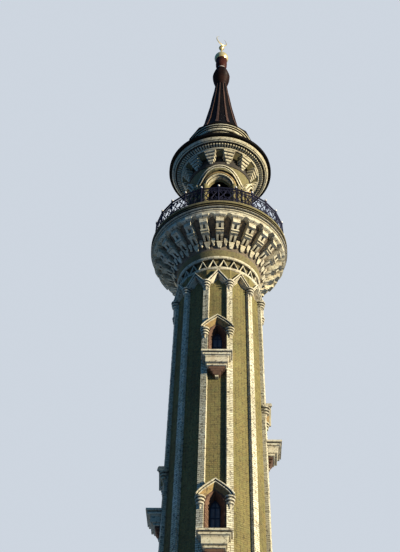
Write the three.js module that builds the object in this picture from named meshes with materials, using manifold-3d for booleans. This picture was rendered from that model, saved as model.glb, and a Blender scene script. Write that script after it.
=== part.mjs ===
// Twelve-sided brick minaret with a corbelled balcony, an open lantern and a metal spire.
// Every size below is a size of the real tower in millimetres, with +Z up and the ground at z = 0.
// The whole group is drawn at half of that, so the model is a 1:2 scale model.
// Azimuths are in degrees, 0 towards -Y (the front) and growing towards +X.
// Outlines are lists of (across, height) or (radius, height) points.

import * as THREE from 'three';
import { mergeVertices } from 'three/addons/utils/BufferGeometryUtils.js';
import Module from 'manifold-3d';

const wasm = await Module();
wasm.setup();

// Scale and fits
const MODEL_SCALE = 0.5;
const FIT_GAP = 0.8;
const JOINT_ANGLE = 0.018;

// Shaft
const SIDES = 12;
const BAY_ANGLE = 360 / SIDES;
const HALF_BAY = BAY_ANGLE / 2;
const PLINTH_TOP = 450;
const SHAFT_SPLIT = 17500;
const SHAFT_TOP = 29600;
const STRIP_FACE_AT_GROUND = 2155;
const SHAFT_TAPER = 0.0104;
const STRIP_WIDTH = 265;
const STRIP_PROUD = 175;
const SHAFT_INNER = 1150;

// Windows, one in each of these bays, at the height of its sill
const WINDOWS = [
  { name: 'front_1', azimuth: 0, sill: 10300 },
  { name: 'front_2', azimuth: 0, sill: 17900 },
  { name: 'front_3', azimuth: 0, sill: 25500 },
  { name: 'right_1', azimuth: 90, sill: 7450 },
  { name: 'right_2', azimuth: 90, sill: 15050 },
  { name: 'right_3', azimuth: 90, sill: 22650 },
  { name: 'back_1', azimuth: 180, sill: 6000 },
  { name: 'back_2', azimuth: 180, sill: 13600 },
  { name: 'back_3', azimuth: 180, sill: 21200 },
  { name: 'left_1', azimuth: 270, sill: 12150 },
  { name: 'left_2', azimuth: 270, sill: 19750 },
];

// The hole of a window, with heights measured from its sill: narrow at the glass, splayed in front of it
const WINDOW_FOOT = 40;
const WINDOW_SPRING = 1300;
const GLASS_HALF_WIDTH = 185;
const GLASS_PEAK = 1600;
const GLASS_THICKNESS = 30;
const GLASS_DEPTH = 330;
const REVEAL_HALF_WIDTH = 340;
const REVEAL_PEAK = 1760;
const SHOULDER_SHARE = 0.62;

// Stonework round a window, with heights measured from its sill
const HOOD_SPRING = 1480;
const HOOD_RISE = 630;
const HOOD_BAND = 300;
const HOOD_PROUD = 190;
const HOOD_OVERLAP = 170;
const JAMB_PROUD = 90;
const JAMB_HALF_WIDTH = 400;
const CAPITAL_RADIUS = 185;
const CAPITAL_HEIGHT = 450;
const CAPITAL_LIFT = 20;
const SILL_HALF_WIDTH = 595;
const SILL_PROUD = 480;
const SILL_DEPTH = 200;
const CONSOLE_HALF_WIDTH = 430;
const CONSOLE_PROUD = 345;
const CONSOLE_DEPTH = 470;
const STEP_HALF_WIDTH = 380;
const STEP_PROUD = 240;
const STEP_DEPTH = 560;
const DROP_HALF_WIDTH = 300;
const DROP_TIP = 60;
const DROP_PROUD = 110;
const DROP_DEPTH = 960;

// Doorway in the foot of the front
const DOOR_HALF_WIDTH = 400;
const DOOR_SPRING = 1750;
const DOOR_PEAK = 2350;

// Arcade of gables that ends the shaft, and the neck over it
const ARCADE_TOP = 30350;
const ARCADE_FACE = 1790;
const ARCADE_RISE = 520;
const ARCADE_BAND = 190;
const ARCADE_PROUD = 110;
const ARCADE_CAPITAL_HEIGHT = 650;
const NECK_TOP = 31480;
const NECK_RADIUS = 1700;
const NECK_RING_RADIUS = 1790;
const LOWER_RING_HEIGHT = 30470;
const UPPER_RING_HEIGHT = 31090;
const ZIGZAGS = 24;
const ZIGZAG_BAND = 90;

// Balcony
const BOWL_TOP = 32640;
const CORBELS = 24;
const CORBEL_WIDTH = 370;
const SLAB_TOP = 33300;
const SLAB_RADIUS = 3070;
const RAILING_RADIUS = 2900;
const RAILING_HEIGHT = 980;
const RAILING_SIDES = 24;
const POST_HALF = 42;
const BAR_HALF = 18;

// Lantern
const QUARTERS = ['front_right', 'back_right', 'back_left', 'front_left'];
const LANTERN_SIDES = 24;
const LANTERN_OUTER = 1480;
const LANTERN_INNER = 1200;
const LANTERN_SPRING = 36250;
const LANTERN_TOP = 37560;
const COLONETTE_RADIUS = 75;
const COLONETTE_AZIMUTHS = [26, 35.5, 45, 54.5, 64];
const BRACKETS = 12;
const BRACKET_WIDTH = 330;

// The lantern's arches: each grows through a splay from its inner size to its mouth
const ARCH = { halfWidth: 480, rise: 380 };
const ARCH_MOUTH = { halfWidth: 640, rise: 590 };
const SPLAY_START = 1100;
const SPLAY_END = 1340;

// The flat order round each mouth, and the hood beyond it with the sunk face that it frames
const ORDER = { halfWidth: 810, rise: 800 };
const ORDER_PROUD = 70;
const HOOD = { halfWidth: 1150, rise: 1020 };
const HOOD_FRAMES = { halfWidth: 1010, rise: 880 };
const LANTERN_HOOD_PROUD = 130;

// Eaves, roof and spire
const EAVE_RADIUS = 2490;
const EAVE_HEIGHT = 38660;
const EAVE_THICKNESS = 140;
const DRUM_RADIUS = 1250;
const DRUM_FOOT = 39480;
const DRUM_TOP = 40660;
const SPIRE_TOP = 46100;
const SPIRE_TURN = 6;
const RIB_WIDTH = 70;
const RIB_PROUD = 25;
const KNOB_TOP = 48080;
const BALL_RADIUS = 370;
const BALL_HEIGHT = 48880;
const BALL_TOP = 49330;
const TIP_HEIGHT = 51000;
const CRESCENT_RADIUS = 370;
const CRESCENT_THICKNESS = 60;
const CRESCENT_TURN = 38;

// Cuts pass a little over what they cut, or right out past everything
const CUT_MARGIN = 10;
const CLEAR = 3200;

const radians = THREE.MathUtils.degToRad;
const degrees = THREE.MathUtils.radToDeg;

// Materials, one for each kind of surface
function finish(color, roughness, metalness) {
  return new THREE.MeshStandardMaterial({ color, roughness, metalness });
}

const brick = finish(0xa8935a, 0.92, 0);
const limestone = finish(0xd8cda4, 0.88, 0);
const granite = finish(0x8d8878, 0.9, 0);
const ironwork = finish(0x2b2a3a, 0.5, 0.6);
const roofMetal = finish(0x1c1d20, 0.45, 0.7);
const gilding = finish(0xd9a441, 0.28, 1);
const glazing = finish(0x2e3a44, 0.1, 0);

const minaret = new THREE.Group();
minaret.scale.setScalar(MODEL_SCALE);

// Solids: closed meshes in and out of the boolean library
function solid(geometry) {
  const bare = geometry.index ? geometry.toNonIndexed() : geometry.clone();
  bare.deleteAttribute('normal');
  bare.deleteAttribute('uv');
  const merged = mergeVertices(bare, 0.01);
  return new wasm.Manifold(new wasm.Mesh({
    numProp: 3,
    vertProperties: new Float32Array(merged.attributes.position.array),
    triVerts: new Uint32Array(merged.index.array),
  }));
}

function geometryOf(body) {
  const mesh = body.getMesh();
  const geometry = new THREE.BufferGeometry();
  geometry.setAttribute('position', new THREE.BufferAttribute(mesh.vertProperties, 3));
  geometry.setIndex(new THREE.BufferAttribute(mesh.triVerts, 1));
  geometry.computeVertexNormals();
  return geometry;
}

function union(bodies) {
  return bodies.reduce((whole, body) => whole.add(body));
}

function place(name, body, material) {
  const mesh = new THREE.Mesh(geometryOf(body), material);
  mesh.name = name;
  minaret.add(mesh);
}

function turned(body, azimuth) {
  return body.rotate([0, 0, azimuth]);
}

// Copies of a body spread evenly round the axis, the first one at an azimuth
function around(body, count, first) {
  return Array.from({ length: count }, (_, i) => turned(body, first + (i * 360) / count));
}

// A point in plan at an azimuth
function polar(radius, azimuth) {
  return new THREE.Vector2(radius * Math.sin(radians(azimuth)), -radius * Math.cos(radians(azimuth)));
}

function vectors(points) {
  return points.map(([x, y]) => new THREE.Vector2(x, y));
}

function extrude(points, depth) {
  return new THREE.ExtrudeGeometry(new THREE.Shape(points), { depth, bevelEnabled: false });
}

// A flat outline in plan raised from one height to another
function raise(points, low, high) {
  return extrude(points, high - low).translate(0, 0, low);
}

// A block in the frame of a bay: x across, y outwards from the axis, z up
function block(halfWidth, near, far, low, high) {
  const geometry = new THREE.BoxGeometry(2 * halfWidth, far - near, high - low);
  return geometry.translate(0, -(near + far) / 2, (low + high) / 2);
}

// An upright outline made solid between two distances from the axis, in the frame of a bay
function upright(outline, near, far) {
  return extrude(vectors(outline), far - near).rotateX(Math.PI / 2).translate(0, -near, 0);
}

// A fin of even width that stands along a radius
function fin(outline, width) {
  const geometry = extrude(vectors(outline), width).translate(0, 0, -width / 2);
  return geometry.rotateX(Math.PI / 2).rotateZ(-Math.PI / 2);
}

// A body turned from an outline that starts and ends on the axis
function lathe(outline, segments) {
  return new THREE.LatheGeometry(vectors(outline), segments).rotateX(Math.PI / 2).rotateZ(Math.PI / segments);
}

// A ring turned from an outline that stays clear of the axis
function ring(outline, segments) {
  return lathe([...outline, outline[0]], segments);
}

// Completes the right half of an outline, given from its top down, with the left half
function bothSides(half) {
  const left = half.filter(([x]) => x > 0).map(([x, z]) => [-x, z]).reverse();
  return [...left, ...half];
}

// The size of the shaft at a height, as a share of its size at the ground
function drawIn(height) {
  return 1 - (SHAFT_TAPER * height) / STRIP_FACE_AT_GROUND;
}

function stripFace(height) {
  return STRIP_FACE_AT_GROUND * drawIn(height);
}

function panelFace(height) {
  return (STRIP_FACE_AT_GROUND - STRIP_PROUD) * drawIn(height);
}

// Draws everything beyond a radius in with height
function taper(geometry, beyond) {
  const position = geometry.attributes.position;
  for (let i = 0; i < position.count; i += 1) {
    const x = position.getX(i);
    const y = position.getY(i);
    if (Math.hypot(x, y) > beyond) {
      const share = drawIn(position.getZ(i));
      position.setXY(i, x * share, y * share);
    }
  }
  return geometry;
}

// The outside of the shaft in plan, at the ground, from one azimuth to another, both at mid bay
function shaftOutline(from, to, extra) {
  const panel = STRIP_FACE_AT_GROUND - STRIP_PROUD + extra;
  const face = STRIP_FACE_AT_GROUND + extra;
  const half = STRIP_WIDTH / 2 + extra;
  const foot = (panel - half * Math.sin(radians(HALF_BAY))) / Math.cos(radians(HALF_BAY));
  const corners = [[-half, foot], [-half, face], [half, face], [half, foot]];
  const axis = new THREE.Vector2();
  const points = [polar(panel, from + JOINT_ANGLE)];
  for (let azimuth = from + HALF_BAY; azimuth < to; azimuth += BAY_ANGLE) {
    corners.forEach(([across, out]) => {
      points.push(new THREE.Vector2(across, -out).rotateAround(axis, radians(azimuth)));
    });
  }
  points.push(polar(panel, to - JOINT_ANGLE));
  return points;
}

// A stretch of shaft wall over a range of azimuths, upright inside
function wallSegment(from, to, low, high) {
  const corner = SHAFT_INNER / Math.cos(radians(HALF_BAY));
  const inside = [polar(SHAFT_INNER, to - JOINT_ANGLE)];
  for (let azimuth = to - HALF_BAY; azimuth > from; azimuth -= BAY_ANGLE) {
    inside.push(polar(corner, azimuth));
  }
  inside.push(polar(SHAFT_INNER, from + JOINT_ANGLE));
  return solid(taper(raise([...shaftOutline(from, to, 0), ...inside], low, high), corner + 100));
}

// The outside of the whole shaft as one mass, grown by the fit gap, to cut what lies on it
function shaftMass(low, high) {
  return solid(taper(raise(shaftOutline(0, 360, FIT_GAP).slice(1, -1), low, high), 0));
}

// A pointed opening
function pointedOutline(halfWidth, foot, spring, peak) {
  return bothSides([
    [0, peak],
    [halfWidth * SHOULDER_SHARE, spring + (peak - spring) * SHOULDER_SHARE],
    [halfWidth, spring],
    [halfWidth, foot],
  ]);
}

function glassOutline(sill, gap) {
  const peak = sill + GLASS_PEAK - 2 * gap;
  return pointedOutline(GLASS_HALF_WIDTH - gap, sill + WINDOW_FOOT + gap, sill + WINDOW_SPRING, peak);
}

// An upright outline that grows towards its far end: wider by one factor, higher over its spring by another
function splayed(outline, near, far, spring, widening, heightening) {
  const geometry = upright(outline, near, far);
  const position = geometry.attributes.position;
  for (let i = 0; i < position.count; i += 1) {
    if (position.getY(i) < -(near + far) / 2) {
      const rise = Math.max(position.getZ(i) - spring, 0);
      position.setX(i, position.getX(i) * widening);
      position.setZ(i, position.getZ(i) + rise * (heightening - 1));
    }
  }
  return geometry;
}

// The hole of a window: straight from inside up to the glass, then splayed up to the jambs' front
function windowHole({ azimuth, sill }) {
  const glass = panelFace(sill) - GLASS_DEPTH;
  const front = panelFace(sill) + JAMB_PROUD + CUT_MARGIN;
  const spring = sill + WINDOW_SPRING;
  const outline = glassOutline(sill, 0);
  const widening = REVEAL_HALF_WIDTH / GLASS_HALF_WIDTH;
  const heightening = (REVEAL_PEAK - WINDOW_SPRING) / (GLASS_PEAK - WINDOW_SPRING);
  const splay = splayed(outline, glass, front, spring, widening, heightening);
  return turned(solid(upright(outline, 0, front)).add(solid(splay)), azimuth);
}

// A swollen gable hood, as a band from one capital to the next
function hoodOutline(halfSpan, spring, rise, band) {
  const outer = [[0, spring + rise], [halfSpan * 0.5, spring + rise * 0.61],
    [halfSpan * 0.9, spring + rise * 0.2], [halfSpan, spring]];
  const inner = [[0, spring + rise - band], [halfSpan * 0.3, spring + rise * 0.61 - band * 0.55],
    [halfSpan - band * 0.95, spring]];
  return [...bothSides(outer), ...bothSides(inner).reverse()];
}

// A capital over a pendant point, standing on the face of a strip
function capital(top, height) {
  const outline = [[0, top - height], [CAPITAL_RADIUS, top - height * 0.4], [CAPITAL_RADIUS, top], [0, top]];
  return solid(lathe(outline, 8).translate(0, -stripFace(top), 0));
}

// The stonework of one window: jambs, two capitals on the strips, hood, sill and its stepped console
function windowSurround({ azimuth, sill }) {
  const spring = sill + HOOD_SPRING;
  const face = stripFace(spring);
  const panel = panelFace(sill);
  const between = face * Math.cos(radians(HALF_BAY)) - 40;
  const halfSpan = face * Math.sin(radians(HALF_BAY)) + HOOD_OVERLAP;
  const jambTop = spring + HOOD_RISE - HOOD_BAND;
  const consoleLow = sill - CONSOLE_DEPTH;
  const stepLow = sill - STEP_DEPTH;
  const drop = bothSides([[0, stepLow], [DROP_HALF_WIDTH, stepLow], [DROP_TIP, sill - DROP_DEPTH]]);
  const hood = hoodOutline(halfSpan, spring, HOOD_RISE, HOOD_BAND);
  const parts = [
    block(JAMB_HALF_WIDTH, SHAFT_INNER, panel + JAMB_PROUD, sill - 150, jambTop),
    upright(hood, SHAFT_INNER, face + HOOD_PROUD),
    block(SILL_HALF_WIDTH, between, panel + STRIP_PROUD + SILL_PROUD, sill - SILL_DEPTH, sill),
    block(CONSOLE_HALF_WIDTH, SHAFT_INNER, face + CONSOLE_PROUD, consoleLow, sill),
    block(STEP_HALF_WIDTH, SHAFT_INNER, face + STEP_PROUD, stepLow, consoleLow),
    upright(drop, SHAFT_INNER, face + DROP_PROUD),
  ].map(solid);
  const head = capital(spring + CAPITAL_LIFT, CAPITAL_HEIGHT);
  const whole = union([...parts, turned(head, -HALF_BAY), turned(head, HALF_BAY)]);
  const clear = whole.subtract(shaftMass(sill - 1400, sill + 2800));
  return turned(clear, azimuth).subtract(windowHole({ azimuth, sill }));
}

function doorHole() {
  const spring = PLINTH_TOP + DOOR_SPRING;
  const outline = pointedOutline(DOOR_HALF_WIDTH, PLINTH_TOP - 50, spring, PLINTH_TOP + DOOR_PEAK);
  return solid(upright(outline, 0, CLEAR));
}

// Shaft walls, a storey and a quarter at a time, each with a row of windows in its middle bay
const wallQuarters = [
  { name: 'front', middle: 0 },
  { name: 'right', middle: 90 },
  { name: 'back', middle: 180 },
  { name: 'left', middle: 270 },
];
const storeys = [
  { name: 'lower', low: PLINTH_TOP, high: SHAFT_SPLIT },
  { name: 'upper', low: SHAFT_SPLIT, high: SHAFT_TOP },
];

storeys.forEach(({ name, low, high }) => {
  wallQuarters.forEach((quarter) => {
    const { middle } = quarter;
    const wall = wallSegment(middle - BAY_ANGLE, middle + 90 - BAY_ANGLE, low, high);
    const holes = WINDOWS.filter(({ azimuth, sill }) => azimuth === middle && sill > low && sill < high)
      .map(windowHole);
    if (middle === 0 && low === PLINTH_TOP) {
      holes.push(doorHole());
    }
    place(`shaft_wall_${name}_${quarter.name}`, wall.subtract(union(holes)), brick);
  });
});

WINDOWS.forEach((window) => {
  const near = panelFace(window.sill) - GLASS_DEPTH;
  const pane = solid(upright(glassOutline(window.sill, FIT_GAP), near - GLASS_THICKNESS, near));
  place(`window_surround_${window.name}`, windowSurround(window), limestone);
  place(`window_glass_${window.name}`, turned(pane, window.azimuth), glazing);
});

// Plinth with the ground floor
const plinthOutline = [[0, 0], [2620, 0], [2620, 180], [2480, 180], [2480, 330], [2400, PLINTH_TOP],
  [0, PLINTH_TOP]];
place('plinth', solid(lathe(plinthOutline, SIDES)), granite);

// Arcade ring: a capital on every strip and a gable over every bay
function arcadeRing() {
  const spring = SHAFT_TOP;
  const wall = [[SHAFT_INNER, spring], [ARCADE_FACE, spring], [ARCADE_FACE, ARCADE_TOP],
    [SHAFT_INNER, ARCADE_TOP]];
  const reach = ARCADE_FACE * Math.tan(radians(HALF_BAY));
  const peak = spring + ARCADE_RISE;
  const gable = [...bothSides([[0, peak], [reach + 60, spring]]),
    ...bothSides([[0, peak - ARCADE_BAND], [reach - ARCADE_BAND, spring]]).reverse()];
  const recess = bothSides([[0, peak - ARCADE_BAND], [reach - 120, spring - CUT_MARGIN]]);
  const cut = around(solid(upright(recess, panelFace(spring), CLEAR)), SIDES, 0);
  const gables = around(solid(upright(gable, ARCADE_FACE - 60, ARCADE_FACE + ARCADE_PROUD)), SIDES, 0);
  const capitals = around(capital(spring + CAPITAL_LIFT, ARCADE_CAPITAL_HEIGHT), SIDES, HALF_BAY);
  const whole = union([solid(ring(wall, SIDES)).subtract(union(cut)), ...gables, ...capitals]);
  return whole.subtract(shaftMass(spring - 1200, spring));
}

place('arcade_ring', arcadeRing(), limestone);

// Neck with two round rings and a zigzag band between them
function neckDrum() {
  const bulge = NECK_RING_RADIUS - NECK_RADIUS;
  const moulding = (height, radiusOver) => [
    [NECK_RADIUS, height - bulge],
    [NECK_RING_RADIUS, height - bulge * 0.4],
    [NECK_RING_RADIUS, height + bulge * 0.4],
    [radiusOver, height + bulge],
  ];
  const outline = [
    [SHAFT_INNER, ARCADE_TOP],
    [NECK_RADIUS, ARCADE_TOP],
    ...moulding(LOWER_RING_HEIGHT, NECK_RADIUS),
    ...moulding(UPPER_RING_HEIGHT, NECK_RADIUS + 30),
    [NECK_RADIUS + 110, NECK_TOP],
    [SHAFT_INNER, NECK_TOP],
  ];
  const low = LOWER_RING_HEIGHT + bulge;
  const high = UPPER_RING_HEIGHT - bulge;
  const half = NECK_RADIUS * Math.tan(Math.PI / ZIGZAGS);
  const chevron = [...bothSides([[0, high], [half, low]]),
    ...bothSides([[0, high - ZIGZAG_BAND], [half - ZIGZAG_BAND, low]]).reverse()];
  const tooth = solid(upright(chevron, NECK_RADIUS - 60, NECK_RADIUS + 45));
  return union([solid(ring(outline, ZIGZAGS)), ...around(tooth, ZIGZAGS, 0)]);
}

place('neck_drum', neckDrum(), limestone);

// Bowl under the balcony, carried by stepped corbels
const bowlOutline = [[SHAFT_INNER, NECK_TOP], [1810, NECK_TOP], [1850, 31600], [1990, 31820], [2110, 31980],
  [2280, 32200], [2430, 32360], [2640, 32520], [2720, BOWL_TOP], [SHAFT_INNER, BOWL_TOP]];
const corbelOutline = [[1450, 31540], [1880, 31540], [1990, 31760], [2160, 31800], [2260, 32040],
  [2470, 32080], [2560, 32300], [2820, 32360], [2900, 32620], [1450, 32620]];
const corbel = solid(fin(corbelOutline, CORBEL_WIDTH));
place('balcony_bowl', union([solid(ring(bowlOutline, CORBELS)), ...around(corbel, CORBELS, 0)]), limestone);

const slabOutline = [[SHAFT_INNER, BOWL_TOP], [2930, BOWL_TOP], [2990, 32710], [2990, 32800], [3020, 32980],
  [SLAB_RADIUS, 33020], [SLAB_RADIUS, SLAB_TOP], [SHAFT_INNER, SLAB_TOP]];
place('balcony_slab', solid(ring(slabOutline, 48)), limestone);

// One quarter of the railing: two rails, posts with pointed tops, and thin uprights between them
function railingQuarter(from) {
  const sideAngle = 360 / RAILING_SIDES;
  const sides = RAILING_SIDES / 4;
  const corner = RAILING_RADIUS / Math.cos(radians(sideAngle / 2));
  const end = from + 90 - degrees((POST_HALF + FIT_GAP) / RAILING_RADIUS);
  const along = Array.from({ length: sides }, (_, side) => from + side * sideAngle);
  const rail = (low, high, half) => {
    const outer = [...along, end].map((azimuth) => polar(corner + half, azimuth));
    const inner = [...along, end].map((azimuth) => polar(corner - half, azimuth)).reverse();
    return solid(raise([...outer, ...inner], SLAB_TOP + low, SLAB_TOP + high));
  };
  const spindle = (half, distance, azimuth, low, high, tip) => {
    const outline = [[0, low], [half, low], [half, high], [0, tip]];
    return turned(solid(lathe(outline, 4).translate(0, -distance, SLAB_TOP)), azimuth);
  };
  const posts = along.map((azimuth) => (
    spindle(POST_HALF, corner, azimuth, 0, RAILING_HEIGHT + 20, RAILING_HEIGHT + 130)));
  const barTop = RAILING_HEIGHT - 30;
  const bars = along.flatMap((azimuth) => [azimuth + sideAngle / 3, azimuth + (sideAngle * 2) / 3])
    .map((azimuth) => spindle(BAR_HALF, RAILING_RADIUS, azimuth, 80, barTop - 10, barTop));
  return union([rail(60, 110, 22), rail(RAILING_HEIGHT - 60, RAILING_HEIGHT, 34), ...posts, ...bars]);
}

QUARTERS.forEach((name, index) => {
  place(`railing_${name}`, railingQuarter(index * 90), ironwork);
});

// A keel arch over the springing, with straight sides that run down past the balcony's floor
function keelArch({ halfWidth, rise }) {
  return bothSides([
    [0, LANTERN_SPRING + rise],
    [halfWidth * 0.36, LANTERN_SPRING + rise * 0.88],
    [halfWidth * 0.72, LANTERN_SPRING + rise * 0.66],
    [halfWidth * 0.94, LANTERN_SPRING + rise * 0.34],
    [halfWidth, LANTERN_SPRING],
    [halfWidth, SLAB_TOP - CUT_MARGIN],
  ]);
}

// What the four arches take out of the lantern's wall
function archHoles() {
  const widening = ARCH_MOUTH.halfWidth / ARCH.halfWidth;
  const heightening = ARCH_MOUTH.rise / ARCH.rise;
  const inner = keelArch(ARCH);
  const hole = union([
    upright(inner, 0, SPLAY_END),
    splayed(inner, SPLAY_START, SPLAY_END, LANTERN_SPRING, widening, heightening),
    upright(keelArch(ARCH_MOUTH), SPLAY_END, CLEAR),
  ].map(solid));
  return union(around(hole, QUARTERS.length, 0));
}

const openArches = archHoles();

// Lantern: four piers with colonettes
function lanternPier(azimuth) {
  const wall = [[LANTERN_INNER, SLAB_TOP], [LANTERN_OUTER, SLAB_TOP], [LANTERN_OUTER, LANTERN_SPRING],
    [LANTERN_INNER, LANTERN_SPRING]];
  const plan = [new THREE.Vector2(0, 0), polar(CLEAR, 1), polar(CLEAR, 89)];
  const quarter = solid(raise(plan, SLAB_TOP, LANTERN_SPRING));
  const pier = solid(ring(wall, LANTERN_SIDES)).intersect(quarter).subtract(openArches);
  const column = [[0, SLAB_TOP], [COLONETTE_RADIUS, SLAB_TOP], [COLONETTE_RADIUS, LANTERN_SPRING],
    [0, LANTERN_SPRING]];
  const colonette = solid(lathe(column, 8).translate(0, -LANTERN_OUTER - 10, 0));
  return turned(union([pier, ...COLONETTE_AZIMUTHS.map((where) => turned(colonette, where))]), azimuth);
}

QUARTERS.forEach((name, index) => {
  place(`lantern_pier_${name}`, lanternPier(index * 90), brick);
});

// The ring over the piers, with the arches cut through it and an order and a hood standing round each
function lanternArches() {
  const shell = (inner, outer) => solid(ring([[inner, LANTERN_SPRING], [outer, LANTERN_SPRING],
    [outer, LANTERN_TOP], [inner, LANTERN_TOP]], LANTERN_SIDES));
  const over = (size) => union(around(solid(upright(keelArch(size), 0, CLEAR)), QUARTERS.length, 0));
  const skin = LANTERN_OUTER - 30;
  const order = shell(skin, LANTERN_OUTER + ORDER_PROUD).intersect(over(ORDER));
  const hood = shell(skin, LANTERN_OUTER + LANTERN_HOOD_PROUD).intersect(over(HOOD))
    .subtract(over(HOOD_FRAMES));
  return union([shell(LANTERN_INNER, LANTERN_OUTER), order, hood]).subtract(openArches);
}

place('lantern_arches', lanternArches(), limestone);

// Cornice under the eaves, with a ring of brackets
const corniceOutline = [[LANTERN_INNER, LANTERN_TOP], [1560, LANTERN_TOP], [1580, 37620], [1500, 37680],
  [1500, 38200], [1720, 38330], [1850, 38360], [1850, 38440], [1950, 38450], [2130, 38500], [2150, 38580],
  [2330, 38600], [2350, EAVE_HEIGHT], [LANTERN_INNER, EAVE_HEIGHT]];
const bracketOutline = [[1400, 37690], [1600, 37700], [1660, 37900], [1740, 37940], [1820, 38140],
  [1830, 38380], [1400, 38380]];
const brackets = around(solid(fin(bracketOutline, BRACKET_WIDTH)), BRACKETS, 180 / BRACKETS);
place('lantern_cornice', union([solid(ring(corniceOutline, LANTERN_SIDES)), ...brackets]), limestone);

// Roof over the eaves
const eaveTop = EAVE_HEIGHT + EAVE_THICKNESS;
const roofOutline = [[0, EAVE_HEIGHT], [EAVE_RADIUS, EAVE_HEIGHT], [EAVE_RADIUS, eaveTop], [2060, 38980],
  [1640, 39210], [1400, DRUM_FOOT], [0, DRUM_FOOT]];
place('eave_roof', solid(lathe(roofOutline, 48)), roofMetal);

// Drum with its cornice
const drumOutline = [[0, DRUM_FOOT], [DRUM_RADIUS, DRUM_FOOT], [DRUM_RADIUS, 40150], [1400, 40220],
  [1400, 40290], [1460, 40350], [1460, 40460], [1520, 40520], [1520, 40590], [1610, 40620],
  [1610, DRUM_TOP], [0, DRUM_TOP]];
place('upper_drum', solid(lathe(drumOutline, LANTERN_SIDES)), limestone);

// Twelve-sided spire with a rib on every edge, turned a little against the shaft
const spireCurve = [[1660, 40760], [1320, 41140], [1020, 41820], [730, 43150], [460, 44900],
  [300, SPIRE_TOP]];
const spireOutline = [[0, DRUM_TOP], [1660, DRUM_TOP], ...spireCurve, [0, SPIRE_TOP]];
const ribOutline = [...spireCurve.map(([radius, height]) => [radius + RIB_PROUD, height]),
  ...spireCurve.map(([radius, height]) => [radius * 0.8, height]).reverse()];
const ribs = around(solid(fin(ribOutline, RIB_WIDTH)), SIDES, HALF_BAY);
place('spire', turned(union([solid(lathe(spireOutline, SIDES)), ...ribs]), SPIRE_TURN), roofMetal);

const knobOutline = [[0, SPIRE_TOP], [300, SPIRE_TOP], [420, 46650], [465, 47050], [380, 47560], [300, 47800],
  [240, KNOB_TOP], [0, KNOB_TOP]];
place('spire_knob', solid(lathe(knobOutline, 16)), roofMetal);

// The ball on its neck, turned in steps of this angle
const ballStep = 20;
const ballOutline = [[0, KNOB_TOP], [190, KNOB_TOP], [170, 48460]];
for (let angle = -2 * ballStep; angle <= 4 * ballStep; angle += ballStep) {
  const across = BALL_RADIUS * Math.cos(radians(angle));
  ballOutline.push([across, BALL_HEIGHT + BALL_RADIUS * Math.sin(radians(angle))]);
}
ballOutline.push([60, BALL_TOP], [0, BALL_TOP]);
place('gilded_ball', solid(lathe(ballOutline, 16)), gilding);

// The crescent stands on a small ball with its horns up, turned away from the front
function crescent() {
  const bite = CRESCENT_RADIUS * 0.87;
  const offset = CRESCENT_RADIUS * 0.145;
  const hornRise = (CRESCENT_RADIUS ** 2 - bite ** 2 + offset ** 2) / (2 * offset);
  const middle = TIP_HEIGHT - hornRise;
  const foot = middle - CRESCENT_RADIUS + 40;
  const stem = [[0, BALL_TOP], [70, BALL_TOP], [50, 49700], [110, 49830], [150, 49950], [110, 50070],
    [35, 50160], [30, foot], [0, foot]];
  const disc = new THREE.CylinderGeometry(CRESCENT_RADIUS, CRESCENT_RADIUS, CRESCENT_THICKNESS, 32);
  const hollow = new THREE.CylinderGeometry(bite, bite, CRESCENT_THICKNESS * 3, 32).translate(0, 0, offset);
  const moon = solid(disc).subtract(solid(hollow)).translate([0, 0, middle]);
  return union([solid(lathe(stem, 12)), turned(moon, CRESCENT_TURN)]);
}

place('crescent', crescent(), gilding);

export default minaret;
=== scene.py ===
# Looks of a twelve-sided brick minaret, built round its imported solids. Sizes are the real tower's in metres,
# and meshes are drawn at half of them, as a 1:2 scale model. Azimuths are in degrees, 0 towards -Y, which is
# the front, and growing towards +X. A shell is points and faces in a bay's frame: x across, -y out, z up.

import random
from math import asin, atan2, cos, degrees, pi, radians, sin, sqrt, tan

import bmesh
import bpy
import numpy as np
from mathutils import Matrix, Vector


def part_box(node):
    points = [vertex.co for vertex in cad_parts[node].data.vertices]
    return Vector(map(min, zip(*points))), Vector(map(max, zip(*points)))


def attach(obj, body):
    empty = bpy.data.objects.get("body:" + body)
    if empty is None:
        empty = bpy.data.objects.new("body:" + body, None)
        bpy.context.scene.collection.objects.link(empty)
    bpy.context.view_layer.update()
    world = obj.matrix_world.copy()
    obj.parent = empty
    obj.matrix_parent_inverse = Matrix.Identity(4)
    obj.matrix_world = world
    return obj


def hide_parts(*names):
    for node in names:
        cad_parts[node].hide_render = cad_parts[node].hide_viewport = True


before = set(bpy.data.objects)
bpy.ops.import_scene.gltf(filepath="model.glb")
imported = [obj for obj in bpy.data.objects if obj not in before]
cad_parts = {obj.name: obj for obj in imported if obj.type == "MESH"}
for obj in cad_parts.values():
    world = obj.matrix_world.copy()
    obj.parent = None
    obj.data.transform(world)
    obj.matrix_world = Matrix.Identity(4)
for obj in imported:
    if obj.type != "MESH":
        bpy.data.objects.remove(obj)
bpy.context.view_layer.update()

SCALE = 0.5
BAYS = 12
BAY = 360 / BAYS
HALF_BAY = radians(BAY / 2)
SCENE = bpy.context.scene
QUARTERS = ("front_right", "back_right", "back_left", "front_left")
RANDOM = random.Random(7)


def wobble(size):
    """A random shift to either side, so that no two bricks are quite alike."""
    return RANDOM.uniform(-size, size)


def top(node):
    """Height of a node's top on the real tower."""
    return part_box(node)[1].z / SCALE


def reach(node):
    """How far a node stands out from the axis along X on the real tower."""
    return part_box(node)[1].x / SCALE


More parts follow.
